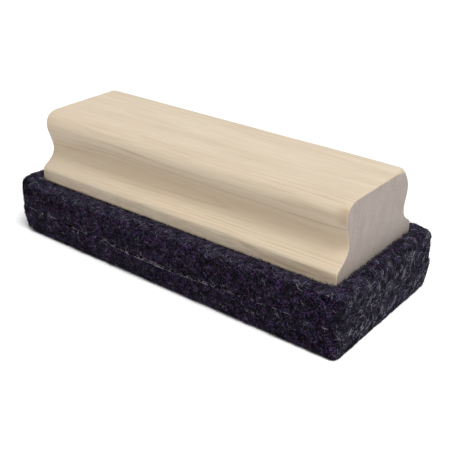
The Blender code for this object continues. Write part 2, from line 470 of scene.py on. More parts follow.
def section(base_half_width, handle_height):
    """The whole section as (y, height) points, once round from the base's right-hand corner."""
    steps = [(i + 1) / SECTION_STEPS for i in range(SECTION_STEPS)]
    half = [(base_half_width * step, 0.0) for step in steps]
    half += [(base_half_width, (BASE_EDGE - LIP_DROP) * step) for step in steps[5::6]]
    half += [lip_point(step, base_half_width) for step in steps[1::2]]
    half += [flare_point(LIP_START + (1 - LIP_START) * step, base_half_width) for step in steps]
    half += [cove_point(step) for step in steps]
    half += [nose_point(step, handle_height) for step in steps]
    half += [(TOP_HALF_WIDTH * (1 - step), handle_height) for step in steps[:-1]]
    return half + [(-y, z) for y, z in reversed(half)]


def outward(points):
    """The outline's normal at each of its points."""
    ahead = np.roll(points, -1, axis=0) - np.roll(points, 1, axis=0)
    normal = np.stack([ahead[:, 1], -ahead[:, 0]], axis=1)
    return normal / np.linalg.norm(normal, axis=1)[:, None]


def edge_rounding(outline, side):
    """How far back the wear on a sawn end reaches, for each point of the outline."""
    unevenness = np.array([noise.noise((y * 260, z * 260, side * 3.1)) for y, z in outline])
    radius = EASED_EDGE * (1.0 + 0.7 * unevenness)
    if side > 0:
        corner = np.array((NOSE_HALF_WIDTH - WORN_INSET, outline[:, 1].max() - WORN_DROP))
        near = np.exp(-(np.linalg.norm(outline - corner, axis=1) / WORN_REACH)**2)
        radius += (WORN_CORNER - EASED_EDGE) * near
    return radius


def end_rings(outline, side, half_length):
    """The rings of a rounded sawn end, as (x, inset) for each point of the outline."""
    radius = edge_rounding(outline, side)
    turned = [pi / 2 * i / END_STEPS for i in range(END_STEPS + 1)]
    return [(side * (half_length - radius * (1 - sin(a))), radius * (1 - cos(a))) for a in turned]


def make_handle():
    low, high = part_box("wooden_handle")
    outline = np.array(section(high.y, high.z - low.z))
    normals = outward(outline)
    slices = [(np.full(len(outline), low.x + (high.x - low.x) * i / HANDLE_SLICES), 0.0)
              for i in range(2, HANDLE_SLICES - 1)]
    bm = bmesh.new()
    loops = []
    for x, inset in end_rings(outline, -1, high.x)[::-1] + slices + end_rings(outline, 1, high.x):
        ring = outline - normals * np.reshape(inset, (-1, 1))
        loops.append([bm.verts.new((px, y, low.z + z)) for px, (y, z) in zip(x, ring)])
    for first, second in zip(loops, loops[1:]):
        for i in range(len(outline)):
            j = (i + 1) % len(outline)
            bm.faces.new((first[i], first[j], second[j], second[i])).smooth = True
    bm.faces.new(loops[0][::-1])
    bm.faces.new(loops[-1])
    bmesh.ops.recalc_face_normals(bm, faces=bm.faces)
    hand_sanded(bm, low, high)
    return finished_piece("handle_moulding", bm, [wood_material()], ["wooden_handle"])


def hand_sanded(bm, low, high):
    """Slow waves of a few hundredths of a millimetre, as sanding leaves them, away from the ends."""
    for v in bm.verts:
        free = min(1.0, (high.x - abs(v.co.x)) / (3 * MM))
        wave = noise.noise(v.co * 55) * SANDING_WAVE * free
        v.co.z += wave if v.co.z > low.z + SANDED_FROM else 0.0
        v.co.y += wave if v.co.y > 0 else -wave


# ---- pieces in general

def finished_piece(name, bm, materials, replaced=()):
    """Links a bmesh as a piece that rides on the eraser's one body."""
    mesh = bpy.data.meshes.new(name)
    bm.to_mesh(mesh)
    bm.free()
    return dressed_piece(name, mesh, materials, replaced)


def dressed_piece(name, mesh, materials, replaced=()):
    for material in materials:
        mesh.materials.append(material)
    piece = bpy.data.objects.new(name, mesh)
    bpy.context.scene.collection.objects.link(piece)
    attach(piece, BODY)
    if replaced:
        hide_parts(*replaced)
    return piece


# ---- felt

FELT_MID = (0.030, 0.027, 0.043)
FELT_PALE = (0.118, 0.112, 0.165)
LONG_SIDE_PAINTED_SHADE = (0.90, 0.72, 0.93)  # painted shade: the long sides are painted darker than the top and the ends
FIBRE_TURNS = ((20, 35, 10), (70, -25, 50), (-40, 10, 95), (10, 80, -30), (55, 45, 140))
DYES = (
    (0.0, (0.005, 0.013, 0.016)), (0.38, (0.010, 0.013, 0.012)), (0.46, (0.010, 0.009, 0.023)),
    (0.54, (0.015, 0.008, 0.024)), (0.62, (0.020, 0.009, 0.015)), (1.0, (0.021, 0.014, 0.009)),
)
# Colour by the pits' noise: darker in the hollows, partly the felt's mottled tone, partly painted shade.
PIT_TONE_AND_SHADE = ((0.40, 0.0), (0.47, 0.18), (0.53, 1.1), (0.62, 4.6))


def felt_strands(tree, place):
    """1 on the strands that lie on top of the felt, in five directions."""
    strands = None
    for i, turn in enumerate(FIBRE_TURNS):
        layer = grains(tree, place, (0.28, 0.28, 2.4), detail=1.0, distortion=0.9, turn=turn)
        layer = limits(tree, layer, 0.60 + 0.01 * i, 0.74)
        strands = layer if strands is None else calc(tree, "MAXIMUM", strands, layer)
    return strands


def felt_material(name, paleness):
    """Wool felt: dyed fibres of many tints, pits between them darkened partly as painted shade, paler
    strands on top, and painted shade on the long sides.
    """
    material, tree, shader = start_material(name)
    place = place_in_mm(tree)
    tints = grains(tree, place, (0.9, 0.9, 0.9), detail=2.0, roughness=0.6, distortion=0.6)
    dye = ramp(tree, tints, *DYES)
    specks = grains(tree, place, (0.62, 0.62, 0.62), detail=2.0, roughness=0.6, distortion=0.4)
    patches = grains(tree, place, (1.9, 1.9, 1.9), detail=2.0, roughness=0.6)
    pits = calc(tree, "ADD", calc(tree, "MULTIPLY", specks, 0.70), calc(tree, "MULTIPLY", patches, 0.30))
    clumps = grains(tree, place, (3.4, 3.4, 3.4), detail=2.0)
    strands = felt_strands(tree, place)
    strand_colour = blend(tree, limits(tree, clumps, 0.40, 0.60), FELT_MID, FELT_PALE)
    long_side = limits(tree, facing(tree, "Y"), 0.35, 0.9)
    # The hollows of the relief are darker: partly mottled tone, partly painted shade.
    colour = tinted(tree, dye, ramp(tree, pits, *PIT_TONE_AND_SHADE))
    # Painted shade by facing: the long sides are painted darker and carry fewer pale strands than the top
    # and the ends; the ends' paleness is partly their own paler cut fibres.
    colour = blend(tree, long_side, colour, tinted(tree, colour, LONG_SIDE_PAINTED_SHADE))
    share_here = limits(tree, long_side, 0.0, 1.0, 0.85 * paleness, 0.36 * paleness)
    colour = blend(tree, calc(tree, "MULTIPLY", strands, share_here), colour, strand_colour)
    rough = limits(tree, pits, 0.3, 0.7, 0.88, 1.0)
    relief = calc(tree, "ADD", pits, calc(tree, "MULTIPLY", strands, 0.45))
    finish_material(tree, shader, colour, rough, relief, 0.16 * MM)
    shader.inputs["Specular IOR Level"].default_value = 0.03
    return material


HAIR_SHADES = (
    (0.0, (0.001, 0.001, 0.002)), (0.38, (0.004, 0.003, 0.007)), (0.54, (0.017, 0.010, 0.022)),
    (0.66, (0.022, 0.024, 0.034)), (0.80, (0.052, 0.050, 0.075)), (0.92, (0.118, 0.114, 0.158)),
    (1.0, (0.270, 0.265, 0.325)),
)


def hair_material():
    """Loose wool hairs. Each has its own shade, from the mesh's hair_shade attribute."""
    material, tree, shader = start_material("charcoal_wool_hair")
    place = place_in_mm(tree)
    own = add(tree, "Attribute", {}, attribute_name="hair_shade").outputs["Fac"]
    dyed = ramp(tree, own, *HAIR_SHADES)
    along = grains(tree, place, (0.9, 0.9, 0.9), detail=2.0)
    colour = tinted(tree, dyed, ramp(tree, along, (0.3, 0.45), (0.7, 1.50)))
    rough = limits(tree, along, 0.3, 0.7, 0.75, 0.95)
    finish_material(tree, shader, colour, rough, along, 0.01 * MM)
    shader.inputs["Specular IOR Level"].default_value = 0.08
    return material


FELT_CELL = 2.5 * MM  # the simulated mesh's squares
UPPER_CORNER = 3.4 * MM  # radii of the upright corners
LOWER_CORNER = 2.3 * MM
SEAM_ROUNDING = 0.16 * MM
UNDERSIDE_ROUNDING = 1.4 * MM
RIM_ROUNDING = 2.0 * MM
ARC_START = (1.0, 0.59)  # where an arc's points come from on the plain block
LEAST_CUT = 0.14 * MM
SEAM_LIP = 0.45 * MM  # the layers' edges close over the glue by this much
LIP_WIDTH = 0.9 * MM
LIP_DEPTH = 1.6 * MM
WAVE_DEPTH = 5.0 * MM  # how far above and below the seam the felt follows its waves
SEAM_SAG = 2.1 * MM  # the front's seam hangs lower round the middle
SAG_MIDDLE = -3 * MM
SAG_REACH = 62 * MM
SWELL_LIMIT = 0.80 * MM
START_INSET = 0.25 * MM
SIMULATED_FRAMES = 18
SEAT_MARGIN = 0.12 * MM  # between the felt and the wood
ROUGH_DEPTH = 4 * MM  # the relief grows from this far in from the pad's sides
RISE_LENGTH = 55 * MM
END_BAND = (60 * MM, 5 * MM)  # where the sides' rise turns into the ends', and over how far
RIM_RISE_ENDS = {"left": 0.40, "right": 0.20}  # how far the rim stands above the CAD's, mm
RIM_RISE_SIDES = {  # the same at the middle, and how much RISE_LENGTH to the right adds
    "front": (-0.90, 0.40),
    "back": (-0.75, 0.20),
}
WOOD_SHOVE = 0.45  # how far the wood has pushed the felt up at its right end, mm
END_OFFSETS = {  # how far each end stands out at the layer's bottom and top, mm
    "felt_cushion_layer": {"left": (0.35, 0.55), "right": (0.10, 0.10)},
    "felt_wiping_layer": {"left": (-0.20, 0.25), "right": (-0.70, 0.30)},
}
FOOT_INSETS = {  # how far each long side's foot is cut in at its left and right, mm
    "front": (1.05, 0.40),
    "back": (0.50, 0.20),
}
END_FROM = 64 * MM  # an end's offsets come in from here, along X
END_BLEND = 4 * MM
SIDE_FROM = 23 * MM  # and a side's inset from here, along Y
SIDE_BLEND = 5 * MM
WORN_SPREAD = 8 * MM  # how far a worn corner reaches, sideways and up
WORN_HEIGHT = 5 * MM
WORN_CORNERS = {  # corners (way along X, way along Y) and how far each is worn, mm
    "felt_cushion_layer": (((1, 1), 0.9), ((-1, -1), 0.7)),
    "felt_wiping_layer": (((1, 1), 0.4), ((-1, -1), 1.5)),
}


def evenly(low, high, cell):
    """Places that divide a stretch into equal parts, ends included."""
    count = max(1, round((high - low) / cell))
    return [low + (high - low) * i / count for i in range(count + 1)]


def sliced_block(low, high, cuts):
    """A closed box with a ring of edges at each cut, as bm. cuts is (axis, place) pairs."""
    bm = bmesh.new()
    bmesh.ops.create_cube(bm, size=1.0)
    size = Matrix.Diagonal((*(high - low), 1.0))
    bmesh.ops.transform(bm, matrix=Matrix.Translation((low + high) / 2) @ size, verts=bm.verts)
    for axis, place in cuts:
        normal = Vector((0, 0, 0))
        normal[axis] = 1.0
        point = normal * place
        everything = bm.verts[:] + bm.edges[:] + bm.faces[:]
        bmesh.ops.bisect_plane(bm, geom=everything, plane_co=point, plane_no=normal, dist=0.0005 * MM)
    return bm


def round_off(co, low, high, radius, below, above):
    """Moves a point of a box onto the box with its upright corners and then its rims rounded."""
    inner = Vector((high.x - radius, high.y - radius))
    held = Vector((min(max(co.x, -inner.x), inner.x), min(max(co.y, -inner.y), inner.y)))
    out = co.xy - held
    reach = max(abs(out.x), abs(out.y))
    if reach < 1e-7:
        return co
    upper = co.z > (low.z + high.z) / 2
    rim = above if upper else below
    edge = high.z - rim if upper else low.z + rim
    way = 1 if upper else -1
    side = (reach - radius + rim) / rim
    rise = (co.z - edge) * way / rim
    if side > 0 and rise > 0:
        arc = Vector((side, rise)).normalized()
        reach = radius - rim + rim * arc.x
        co.z = edge + way * rim * arc.y
    co.xy = held + out.normalized() * reach
    return co


def layer_cuts(low, high, seat, radius, below, above):
    """Where the block of a felt layer is cut: evenly, and closely where it is rounded."""
    rims = [rim * share for rim in (below, above) for share in ARC_START]
    cuts = []
    for axis in (0, 1):
        inner = high[axis] - radius
        stops = [seat[axis], inner] if seat else [inner]
        places = evenly(0.0, stops[0], FELT_CELL)
        for near, far in zip(stops, stops[1:]):
            places += evenly(near, far, FELT_CELL)[1:]
        places = apart(places + [high[axis] - rim for rim in rims])
        cuts += [(axis, side * place) for place in places for side in (-1, 1) if place > 0 or side > 0]
    levels = [low.z + below * share for share in ARC_START] + [high.z - above * share for share in ARC_START]
    levels += evenly(low.z + below, high.z - above, 1.5 * MM)[1:-1]
    cuts += [(2, place) for place in apart(levels)]
    return cuts


def apart(places):
    """The places in order, without those that lie too close to the one before."""
    kept = []
    for place in sorted(places):
        if not kept or place - kept[-1] > LEAST_CUT:
            kept.append(place)
    return kept


def pressurised(piece, pinned):
    """A Cloth modifier that swells the piece a little, with the pinned points held."""
    group = piece.vertex_groups.new(name="pressed")
    group.add(pinned, 1.0, "REPLACE")
    cloth = piece.modifiers.new("cloth", "CLOTH")
    settings = cloth.settings
    settings.quality = 6
    settings.mass = 0.3
    settings.tension_stiffness = 25.0
    settings.compression_stiffness = 25.0
    settings.shear_stiffness = 15.0
    settings.bending_stiffness = 4.0
    settings.use_pressure = True
    settings.uniform_pressure_force = 7.0
    settings.vertex_group_mass = "pressed"
    settings.effector_weights.gravity = 0.0
    cloth.point_cache.frame_start = 1
    cloth.point_cache.frame_end = SIMULATED_FRAMES
    return cloth


def simulated(piece, pinned):
    """Swells the felt under a little pressure, with its pressed faces held, by at most SWELL_LIMIT."""
    start = [v.co.copy() for v in piece.data.vertices]
    cloth = pressurised(piece, pinned)
    scene = bpy.context.scene
    for number in range(1, SIMULATED_FRAMES + 1):
        scene.frame_set(number)
    evaluated = piece.evaluated_get(bpy.context.evaluated_depsgraph_get())
    swollen = [v.co.copy() for v in evaluated.data.vertices]
    piece.modifiers.remove(cloth)
    piece.vertex_groups.clear()
    for v, first, last in zip(piece.data.vertices, start, swollen):
        move = last - first
        if move.length > SWELL_LIMIT:
            move = move.normalized() * SWELL_LIMIT
        v.co = first + move
    scene.frame_set(1)


def subdivided(piece, levels):
    modifier = piece.modifiers.new("finer", "SUBSURF")
    modifier.levels = levels
    modifier.render_levels = levels
    evaluated = piece.evaluated_get(bpy.context.evaluated_depsgraph_get())
    mesh = bpy.data.meshes.new_from_object(evaluated)
    piece.modifiers.remove(modifier)
    old = piece.data
    piece.data = mesh
    bpy.data.meshes.remove(old)


def felt_relief(piece, high):
    """Wool's lumps and pits, strongest on the open faces."""
    mesh = piece.data
    count = len(mesh.vertices)
    co = np.empty(count * 3)
    normal = np.empty(count * 3)
    mesh.vertices.foreach_get("co", co)
    mesh.vertex_normals.foreach_get("vector", normal)
    co, normal = co.reshape(-1, 3), normal.reshape(-1, 3)
    amount = np.empty(count)
    for i, point in enumerate(co):
        p = Vector(point)
        lumps = noise.noise(p * 190) * 0.20 * MM
        pits = noise.noise(p * 620 + Vector((9, 3, 5))) * 0.16 * MM
        fine = noise.noise(p * 1300 + Vector((2, 7, 1))) * 0.10 * MM
        amount[i] = lumps + pits + fine
    past_x = np.abs(co[:, 0]) - (high.x - ROUGH_DEPTH)
    past_y = np.abs(co[:, 1]) - (high.y - ROUGH_DEPTH)
    open_side = np.clip(np.maximum(past_x, past_y) / (2 * MM), 0, 1)
    under = np.clip((co[:, 2] - CAD_LOW.z) / (1.0 * MM), 0.12, 1)
    co += normal * (amount * np.maximum(open_side, 0.35) * under)[:, None]
    co[:, 2] = np.maximum(co[:, 2], CAD_LOW.z)
    mesh.vertices.foreach_set("co", co.ravel())
    mesh.update()


def clear_of_wood(piece, seat):
    """Felt pressed into the wood's space moves back to the wood's surface."""
    x_limit, y_limit = seat.x + SEAT_MARGIN, seat.y + SEAT_MARGIN
    for v in piece.data.vertices:
        if v.co.z < seat.z + 0.5 * MM or abs(v.co.x) >= x_limit or abs(v.co.y) >= y_limit:
            continue
        if x_limit - abs(v.co.x) < y_limit - abs(v.co.y):
            v.co.x = x_limit if v.co.x > 0 else -x_limit
        else:
            v.co.y = y_limit if v.co.y > 0 else -y_limit


def rim_rise(co, seat):
    """How far the upper layer's rim stands above or below the CAD rim, in metres."""
    middle, slope = RIM_RISE_SIDES["front" if co.y < 0 else "back"]
    side_rise = (middle + slope * (co.x / RISE_LENGTH)) * MM
    end_rise = RIM_RISE_ENDS["left" if co.x < 0 else "right"] * MM
    at_end = smooth((abs(co.x) - END_BAND[0]) / END_BAND[1])
    rise = side_rise + (end_rise - side_rise) * at_end
    if co.x > seat.x - 4 * MM:
        rise += smooth(1 - (co.x - seat.x) / (4.5 * MM)) * WOOD_SHOVE * MM
    return rise + noise.noise(Vector((co.x * 70, co.y * 70, 2.0))) * 0.20 * MM


def smooth(share):
    share = min(max(share, 0.0), 1.0)
    return share * share * (3 - 2 * share)


def make_felt_layer(name, node, seat, radius, below, above, paleness, seam_is_above):
    low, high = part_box(node)
    start_low = low + Vector((START_INSET, START_INSET, 0.0))
    start_high = high - Vector((START_INSET, START_INSET, 0.0))
    cuts = layer_cuts(start_low, start_high, seat, radius, below, above)
    bm = sliced_block(start_low, start_high, cuts)
    for v in bm.verts:
        v.co = round_off(v.co.copy(), start_low, start_high, radius, below, above)
    if seat:
        press_seat(bm, start_high.z, seat)
    bm = in_fixed_order(bm)
    bmesh.ops.recalc_face_normals(bm, faces=bm.faces)
    for face in bm.faces:
        face.smooth = True
    pressed = [v.index for v in bm.verts if is_pressed(v.co, low, high, seat, seam_is_above)]
    piece = finished_piece(name, bm, [felt_material(name + "_wool", paleness)], [node])
    simulated(piece, pressed)
    subdivided(piece, 2)
    cut_by_hand(piece, low, high)
    close_seam(piece, low, high, seam_is_above)
    felt_relief(piece, high)
    if seat:
        clear_of_wood(piece, seat)
    return piece


def cut_by_hand(piece, low, high):
    """Sets the layer's sides a little out of square and wears some of its corners."""
    is_lower = low.z < CAD_LOW.z + 1 * MM
    offsets = END_OFFSETS[piece.name]
    for v in piece.data.vertices:
        share = smooth((v.co.z - low.z) / (high.z - low.z))
        bottom, top = offsets["left" if v.co.x < 0 else "right"]
        at_end = smooth((abs(v.co.x) - END_FROM) / END_BLEND)
        move = (bottom + (top - bottom) * share) * MM * at_end
        v.co.x += move if v.co.x > 0 else -move
        if is_lower:
            inset = foot_inset(v.co, high) * (1 - share)
            v.co.y += inset if v.co.y < 0 else -inset
        outer = v.co.z - low.z if is_lower else high.z - v.co.z
        for (x_way, y_way), worn in WORN_CORNERS[piece.name]:
            away = Vector((high.x - x_way * v.co.x, high.y - y_way * v.co.y)).length
            drop = worn * MM * smooth(1 - away / WORN_SPREAD) * smooth(1 - outer / WORN_HEIGHT)
            v.co.z += drop if is_lower else -drop


def foot_inset(co, high):
    """How far a point of the underside's long edges is cut in, in metres."""
    left, right = FOOT_INSETS["front" if co.y < 0 else "back"]
    at_side = smooth((abs(co.y) - SIDE_FROM) / SIDE_BLEND)
    return (left + (right - left) * (co.x / high.x + 1) / 2) * MM * at_side


def press_seat(bm, top, seat):
    """Presses the felt under the handle down, and lifts the rim round it."""
    inside = [f for f in bm.faces if f.normal.z > 0.9 and abs(f.calc_center_median().x) < seat.x
              and abs(f.calc_center_median().y) < seat.y and f.calc_center_median().z > top - 1.0 * MM]
    lifted = [v for v in bm.verts if v.co.z > top - RIM_ROUNDING]
    for v in lifted:
        share = min(1.0, (v.co.z - top + RIM_ROUNDING) / RIM_ROUNDING)
        v.co.z += rim_rise(v.co, seat) * share
    made = bmesh.ops.extrude_face_region(bm, geom=inside)
    bmesh.ops.delete(bm, geom=inside, context="FACES")
    for v in made["geom"]:
        if isinstance(v, bmesh.types.BMVert):
            v.co.z = seat.z


def in_fixed_order(bm):
    """The same block built again, because an extrusion's faces and edges come in a chance order."""
    verts = sorted(bm.verts, key=lambda v: tuple(v.co))
    number = {v: i for i, v in enumerate(verts)}
    faces = []
    for face in bm.faces:
        corners = [number[v] for v in face.verts]
        first = corners.index(min(corners))
        faces.append(corners[first:] + corners[:first])
    rebuilt = bmesh.new()
    placed = [rebuilt.verts.new(v.co) for v in verts]
    for corners in sorted(faces):
        rebuilt.faces.new([placed[i] for i in corners])
    rebuilt.verts.index_update()
    bm.free()
    return rebuilt


def is_pressed(co, low, high, seat, seam_is_above):
    """True where the felt is held: on the ground, in the seam or under the handle."""
    if co.z < low.z + 0.05 * MM:
        return True
    if seam_is_above:
        return co.z > high.z - 0.05 * MM
    return abs(co.x) < seat.x + 0.1 * MM and abs(co.y) < seat.y + 0.1 * MM


def seam_wave(co):
    """How far the seam wanders up or down at a place on the pad's outline."""
    slow = noise.noise(Vector((co.x * 60, co.y * 60, 4.0))) * 0.32 * MM
    fast = noise.noise(Vector((co.x * 260, co.y * 260, 8.0))) * 0.20 * MM
    at_front = smooth(1 - (co.y - CAD_LOW.y) / (4 * MM))
    return slow + fast - SEAM_SAG * at_front * smooth(1 - abs(co.x - SAG_MIDDLE) / SAG_REACH)


def close_seam(piece, low, high, seam_is_above):
    """Brings the two layers' outer edges together over the glue."""
    seam = high.z if seam_is_above else low.z
    way = 1 if seam_is_above else -1
    for v in piece.data.vertices:
        if abs(v.co.z - seam) < WAVE_DEPTH:
            v.co.z += seam_wave(v.co) * (1 - abs(v.co.z - seam) / WAVE_DEPTH)
        if abs(v.co.z - seam) > LIP_DEPTH:
            continue
        from_side = min(high.x - abs(v.co.x), high.y - abs(v.co.y))
        near_side = np.clip(1.4 - from_side / LIP_WIDTH, 0, 1)
        near_seam = 1 - abs(v.co.z - seam) / LIP_DEPTH
        v.co.z += way * SEAM_LIP * near_side * near_seam


def make_felt():
    _, handle_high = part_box("wooden_handle")
    film_low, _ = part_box("handle_glue_film")
    seat = Vector((handle_high.x + SEAT_MARGIN, handle_high.y + SEAT_MARGIN, film_low.z - 0.1 * MM))
    upper = make_felt_layer("felt_cushion_layer", "felt_upper_layer", seat, UPPER_CORNER,
                            SEAM_ROUNDING, RIM_ROUNDING, 1.0, False)
    lower = make_felt_layer("felt_wiping_layer", "felt_lower_layer", None, LOWER_CORNER,
                            UNDERSIDE_ROUNDING, SEAM_ROUNDING, 0.9, True)
    return upper, lower


# ---- loose hairs

HAIR_RINGS = 5


class Hairs(NamedTuple):
    """One field of hairs. Lengths are in metres."""
    count: int
    length: tuple = (1.0 * MM, 3.4 * MM)
    width: tuple = (0.035 * MM, 0.11 * MM)
    lift: tuple = (0.03 * MM, 0.24 * MM)
    darkness: float = 1.0  # above 1 gives fewer pale hairs
    disorder: float = 0.9  # 0 lays every hair the way of its clump
    patchy: float = 0.3  # how much a hair's shade follows its clump's


def surface_points(pieces, count, keep, seed):
    """Random points on the pieces' faces that keep(point, normal) accepts, with their normals."""
    rng = np.random.default_rng(seed)
    corners = []
    for piece in pieces:
        mesh = piece.data
        mesh.calc_loop_triangles()
        points = np.empty(len(mesh.vertices) * 3)
        mesh.vertices.foreach_get("co", points)
        index = np.empty(len(mesh.loop_triangles) * 3, int)
        mesh.loop_triangles.foreach_get("vertices", index)
        corners.append(points.reshape(-1, 3)[index.reshape(-1, 3)])
    corners = np.concatenate(corners)
    cross = np.cross(corners[:, 1] - corners[:, 0], corners[:, 2] - corners[:, 0])
    size = np.linalg.norm(cross, axis=1)
    normals = cross / np.maximum(size, 1e-15)[:, None]
    middles = corners.mean(1)
    chance = size * keep(middles, normals) * clumping(middles)
    chosen = rng.choice(len(corners), count, p=chance / chance.sum())
    u, v = rng.random(count), rng.random(count)
    folded = u + v > 1
    u[folded], v[folded] = 1 - u[folded], 1 - v[folded]
    tri = corners[chosen]
    places = tri[:, 0] + u[:, None] * (tri[:, 1] - tri[:, 0]) + v[:, None] * (tri[:, 2] - tri[:, 0])
    return places, normals[chosen], rng


def clumping(points):
    """Wool lies in clumps: how likely a hair is at each point."""
    density = np.array([noise.noise(Vector(p) * 260) + 0.5 * noise.noise(Vector(p) * 620) for p in points])
    return np.clip(density + 0.25, 0.06, 1)**1.3


def clump_shades(points):
    """How much paler, up to about 0.5, or darker the wool is round each point."""
    shift = Vector((5, 11, 3))
    return np.array([noise.noise(Vector(p) * 400 + shift) + 0.5 * noise.noise(Vector(p) * 900)
                     for p in points])


def combed(points):
    """The way wool lies round each point, as unit vectors that turn slowly from place to place."""
    shift = Vector((31, 17, 23))
    ways = [noise.noise_vector(Vector(p) * 190 + shift) for p in points]
    return unit(np.array(ways))


def felt_tree(pieces):
    """One search tree over all the felt."""
    vertices, faces = [], []
    for piece in pieces:
        base = len(vertices)
        vertices += [v.co.copy() for v in piece.data.vertices]
        faces += [[base + i for i in face.vertices] for face in piece.data.polygons]
    return BVHTree.FromPolygons(vertices, faces)


def unit(vectors):
    return vectors / np.maximum(np.linalg.norm(vectors, axis=1), 1e-12)[:, None]


def make_hairs(name, pieces, tree, seed, hairs, keep):
    """Wool hairs as closed three-sided tubes that follow the felt and stand off it a little."""
    count = hairs.count
    places, normals, rng = surface_points(pieces, count, keep, seed)
    ways = combed(places) + rng.normal(0, hairs.disorder, (count, 3))
    sideways = unit(np.cross(normals, ways))
    curl = rng.normal(0, 0.55, count)
    lengths = rng.uniform(*hairs.length, count)
    heights = rng.uniform(*hairs.lift, count)
    widths = rng.uniform(*hairs.width, count)
    across = np.cross(normals, sideways)
    centres = np.empty((count, HAIR_RINGS, 3))
    ups = np.empty((count, HAIR_RINGS, 3))
    for k, step in enumerate(np.linspace(-0.5, 0.5, HAIR_RINGS)):
        bend = curl * lengths * (step**2 - 0.08)
        wanted = places + sideways * (step * lengths)[:, None] + across * bend[:, None]
        arch = (1 - (2 * step)**2) - 0.25
        for i in range(count):
            hit, normal, _, _ = tree.find_nearest(Vector(wanted[i]))
            centres[i, k] = hit + normal * heights[i] * arch
            ups[i, k] = normal
    centres[:, :, 2] = np.maximum(centres[:, :, 2], CAD_LOW.z + widths[:, None])
    shades = rng.random(count)**hairs.darkness + hairs.patchy * clump_shades(places)
    build_tubes(name, centres, ups, widths, np.clip(shades, 0, 1))


def build_tubes(name, centres, ups, widths, shades, material=None):
    """One mesh of closed tubes with a flattened three-cornered section that tapers to both ends."""
    count, rings, _ = centres.shape
    ahead = unit(np.gradient(centres, axis=1).reshape(-1, 3))
    up = unit(ups.reshape(-1, 3))
    side = unit(np.cross(ahead, up))
    up = np.cross(side, ahead)
    taper = np.interp(np.linspace(0, 1, rings), (0, 0.35, 0.65, 1), (0.35, 1, 1, 0.35))
    half = (widths[:, None] * taper[None, :] / 2).reshape(-1, 1)
    middle = centres.reshape(-1, 3)
    ring = np.stack([middle + side * half - up * half * 0.35, middle + up * half * 0.75,
                     middle - side * half - up * half * 0.35], axis=1)
    quads = np.array([(r * 3 + s, r * 3 + (s + 1) % 3, (r + 1) * 3 + (s + 1) % 3, (r + 1) * 3 + s)
                      for r in range(rings - 1) for s in range(3)])
    caps = np.array([(2, 1, 0), (rings * 3 - 3, rings * 3 - 2, rings * 3 - 1)])
    offset = (np.arange(count) * rings * 3)[:, None, None]
    quads = (quads[None] + offset).reshape(-1, 4)
    caps = (caps[None] + offset).reshape(-1, 3)
    mesh = bpy.data.meshes.new(name)
    mesh.from_pydata(ring.reshape(-1, 3).tolist(), [], quads.tolist() + caps.tolist())
    mesh.shade_smooth()
    shade = mesh.attributes.new("hair_shade", "FLOAT", "POINT")
    shade.data.foreach_set("value", np.repeat(shades, rings * 3).astype(np.float32))
    return dressed_piece(name, mesh, [material or bpy.data.materials["charcoal_wool_hair"]])


# Darker hairs on the long sides and paler ones on the rim paint shade and light by facing; the ends' paler
# hairs are partly their own paler fuzz.
LONG_SIDE_HAIRS = Hairs(
    count=7400, length=(0.8 * MM, 2.6 * MM), width=(0.03 * MM, 0.10 * MM), darkness=1.7, patchy=0.2,
)
SHORT_SIDE_HAIRS = Hairs(
    count=7400, length=(1.2 * MM, 4.2 * MM), width=(0.04 * MM, 0.14 * MM), darkness=0.95, patchy=0.4,
)
RIM_HAIRS = Hairs(count=7400, width=(0.04 * MM, 0.12 * MM), darkness=0.6, patchy=0.4)
UNDERSIDE_HAIRS = Hairs(count=7000)
STRAY_HAIRS = Hairs(
    count=1600, length=(2.0 * MM, 5.0 * MM), width=(0.04 * MM, 0.09 * MM),
    lift=(0.30 * MM, 0.85 * MM), disorder=2.0,
)
SEAM_HAIRS = Hairs(count=1500, darkness=0.8)
SEAM_HAIRS_DROP = 0.6 * MM  # they grow mostly below the seam
SIDE_DEPTH = 5 * MM  # how far in from the pad's box its sides reach
RIM_FOOT = 19.2 * MM  # the rim's faces lie above this height


def on_side(axis, way):
    """Keeps what lies on one of the pad's upright sides, and faces out of it."""
    least = CAD_HIGH[axis] - SIDE_DEPTH
    return lambda p, n: (way * n[:, axis] > 0.5) & (way * p[:, axis] > least)


def make_all_hairs(pieces, tree):
    """One piece of hairs for each field: its kind of hair, and where it grows by point and normal."""
    hair_material()
    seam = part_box("layer_glue_film")[0].z
    fields = {
        "front": (LONG_SIDE_HAIRS, on_side(1, -1)),
        "back": (LONG_SIDE_HAIRS, on_side(1, 1)),
        "right": (SHORT_SIDE_HAIRS, on_side(0, 1)),
        "left": (SHORT_SIDE_HAIRS, on_side(0, -1)),
        "rim": (RIM_HAIRS, lambda p, n: (n[:, 2] > 0.45) & (p[:, 2] > RIM_FOOT)),
        "underside": (UNDERSIDE_HAIRS, lambda p, n: (n[:, 2] < -0.8) & (p[:, 2] < 0.5 * MM)),
        "stray": (STRAY_HAIRS, lambda p, n: (
            (np.abs(n).max(axis=1) < 0.93) & (np.abs(p[:, 2] - 12 * MM) < 11 * MM))),
        "seam": (SEAM_HAIRS, lambda p, n: (
            (np.abs(p[:, 2] - seam + SEAM_HAIRS_DROP) < 1.7 * MM) & (np.abs(n[:, 2]) < 0.8))),
    }
    for seed, (side, (hairs, keep)) in enumerate(fields.items(), start=11):
        make_hairs("wool_hairs_" + side, pieces, tree, seed, hairs, keep)


WOOD_LINE_COUNT = 2200
WOOD_LINE_RISE = 1.05 * MM  # how far up the wood the longest of them reach
WOOD_LINE_ROOT = 0.45 * MM  # how deep in the felt they start


